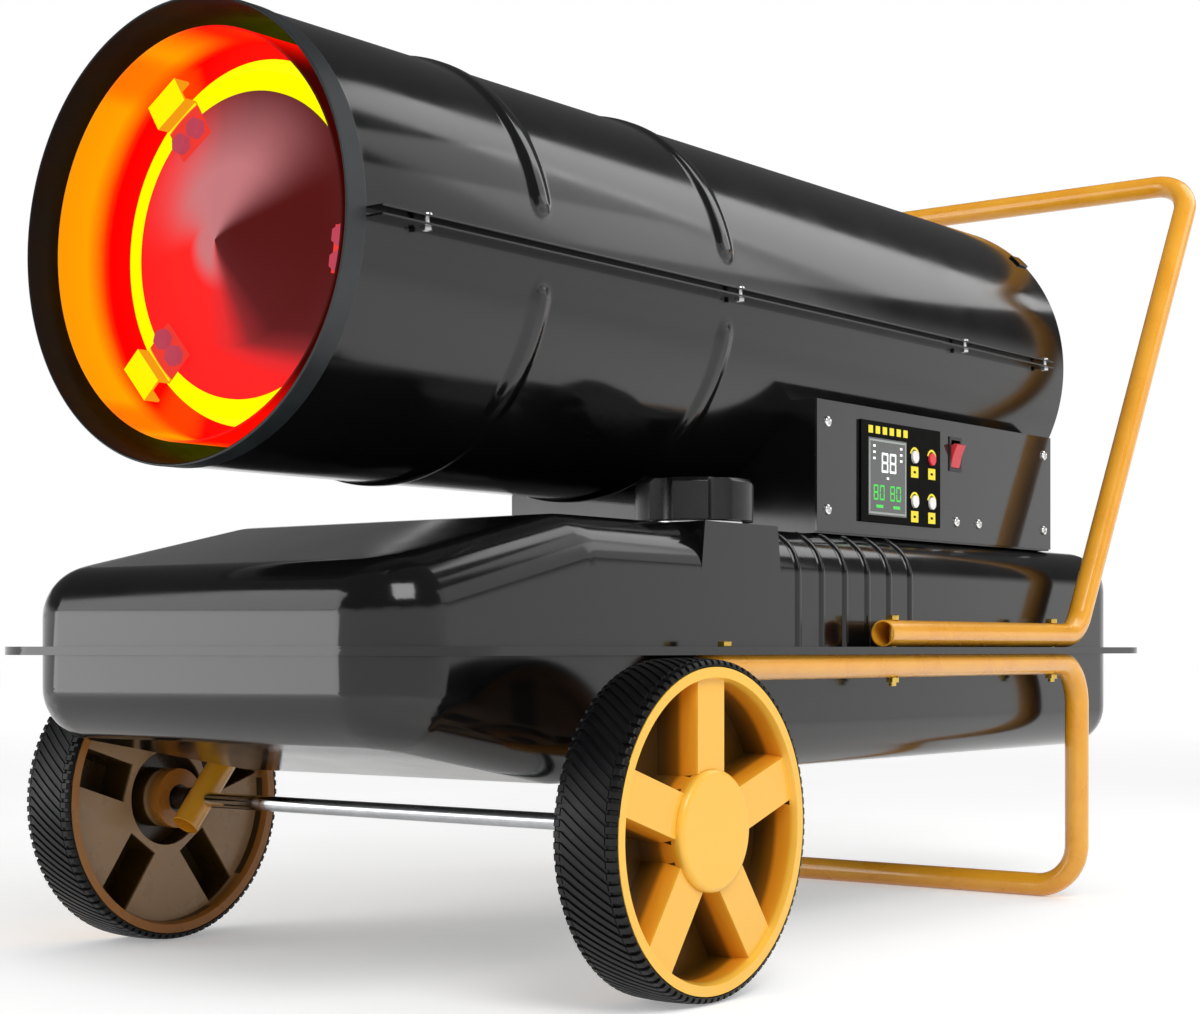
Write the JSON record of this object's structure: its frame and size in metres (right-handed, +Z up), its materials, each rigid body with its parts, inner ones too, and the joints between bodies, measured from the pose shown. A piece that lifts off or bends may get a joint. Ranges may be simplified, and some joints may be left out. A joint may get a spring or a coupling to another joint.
{
  "type": "forced air heater",
  "caption": "Wheeled direct oil-fired forced air heater: round horizontal barrel over a ribbed fuel tank, control box, tubular handle and leg frame.",
  "frame": {"origin": "on the ground, below the middle of the overall box", "axes": "+Z up, the warm air leaves towards -Y, the controls and the filler are on the +X side"},
  "size_m": [0.576, 1.236, 0.734],
  "materials": {
    "black_paint": "satin gloss stove enamel on pressed steel",
    "grey_paint": "satin",
    "gold_paint": "gloss powder coat on tube",
    "gold_plastic": "gloss moulding",
    "heated_steel": "scaled by heat",
    "plated_steel": "zinc plated",
    "yellow_zinc": "yellow zinc plated",
    "brass": "turned",
    "copper_pipe": "drawn tube",
    "aluminium": "die cast",
    "black_plastic": "fine grain",
    "display_black": "gloss",
    "display_glass": "clear window over a dark screen",
    "white_plastic": "gloss",
    "red_plastic": "gloss",
    "circuit_board": "solder resist",
    "ceramic": "glazed ceramic",
    "tyre_rubber": "moulded tread",
    "seal_rubber": "matte"
  },
  "bodies": {
    "heater": {"tank_upper_shell": "black_paint", "tank_lower_shell": "black_paint", "drain_plug": "yellow_zinc", "filler_neck": "plated_steel", "fuel_strainer": "black_plastic", "barrel_upper_shell": "black_paint", "barrel_lower_shell": "black_paint", "shell_screws": "plated_steel", "shell_nuts": "plated_steel", "combustion_chamber": "heated_steel", "flame_disc": "heated_steel", "disc_brackets": "heated_steel", "disc_bolts": "heated_steel", "chamber_stays": "plated_steel", "burner_head": "heated_steel", "ignition_electrodes": "ceramic", "fuel_nozzle": "brass", "fan_motor": "black_paint", "motor_bracket": "plated_steel", "air_pump": "aluminium", "rear_guard": "plated_steel", "guard_clips": "black_paint", "panel_screws": "plated_steel", "control_box": "black_paint", "ignition_transformer": "black_plastic", "cord_gland": "black_plastic", "display_window": "display_glass", "display_module": "display_black", "control_board": "circuit_board", "rocker_housing": "black_plastic", "side_panel": "grey_paint", "fuel_pipe": "copper_pipe", "air_pipe": "copper_pipe", "handle_tube": "gold_paint", "leg_frame_tube": "gold_paint", "frame_bolts": "yellow_zinc", "frame_nuts": "yellow_zinc", "axle": "plated_steel", "axle_spacers": "plated_steel", "axle_washers": "plated_steel", "axle_clips": "plated_steel"},
    "fan_rotor": {"fan": "aluminium", "motor_shaft": "plated_steel", "pump_rotor": "plated_steel", "pump_vanes": "black_plastic"},
    "right_wheel": {"right_tyre": "tyre_rubber", "right_rim": "gold_plastic", "right_wheel_bush": "black_plastic", "right_hub_cap": "gold_plastic"},
    "left_wheel": {"left_tyre": "tyre_rubber", "left_rim": "gold_plastic", "left_wheel_bush": "black_plastic", "left_hub_cap": "gold_plastic"},
    "cap_seal": {"cap_gasket": "seal_rubber"},
    "cap": {"fuel_cap": "black_plastic"},
    "mode_button": {"mode_key": "white_plastic"},
    "power_button": {"power_key": "red_plastic"},
    "lower_button": {"lower_key": "white_plastic"},
    "raise_button": {"raise_key": "white_plastic"},
    "rocker": {"rocker_key": "red_plastic"}
  },
  "joints": [
    {"name": "right_wheel_spin", "type": "hinge", "parent": "heater", "child": "right_wheel", "pos_m": [0.262, -0.397, 0.115], "axis": [1, 0, 0], "continuous": true},
    {"name": "left_wheel_spin", "type": "hinge", "parent": "heater", "child": "left_wheel", "pos_m": [-0.262, -0.397, 0.115], "axis": [1, 0, 0], "continuous": true},
    {"name": "fan_spin", "type": "hinge", "parent": "heater", "child": "fan_rotor", "pos_m": [0, 0.199, 0.5135], "axis": [0, 1, 0], "continuous": true},
    {"name": "cap_lift", "type": "slide", "parent": "heater", "child": "cap_seal", "axis": [0, 0, 1], "range_m": [0, 0.02]},
    {"name": "cap_turn", "type": "hinge", "parent": "cap_seal", "child": "cap", "pos_m": [0.142, -0.211, 0.35], "axis": [0, 0, 1], "range_deg": [0, 120]},
    {"name": "mode_press", "type": "slide", "parent": "heater", "child": "mode_button", "axis": [-1, 0, 0], "range_m": [0, 0.0012], "stiffness_N_per_m": 400},
    {"name": "power_press", "type": "slide", "parent": "heater", "child": "power_button", "axis": [-1, 0, 0], "range_m": [0, 0.0012], "stiffness_N_per_m": 400},
    {"name": "lower_press", "type": "slide", "parent": "heater", "child": "lower_button", "axis": [-1, 0, 0], "range_m": [0, 0.0012], "stiffness_N_per_m": 400},
    {"name": "raise_press", "type": "slide", "parent": "heater", "child": "raise_button", "axis": [-1, 0, 0], "range_m": [0, 0.0012], "stiffness_N_per_m": 400},
    {"name": "rocker_tip", "type": "hinge", "parent": "heater", "child": "rocker", "pos_m": [0.1595, 0.175, 0.4115], "axis": [0, 1, 0], "range_deg": [-36, 0]}
  ]
}
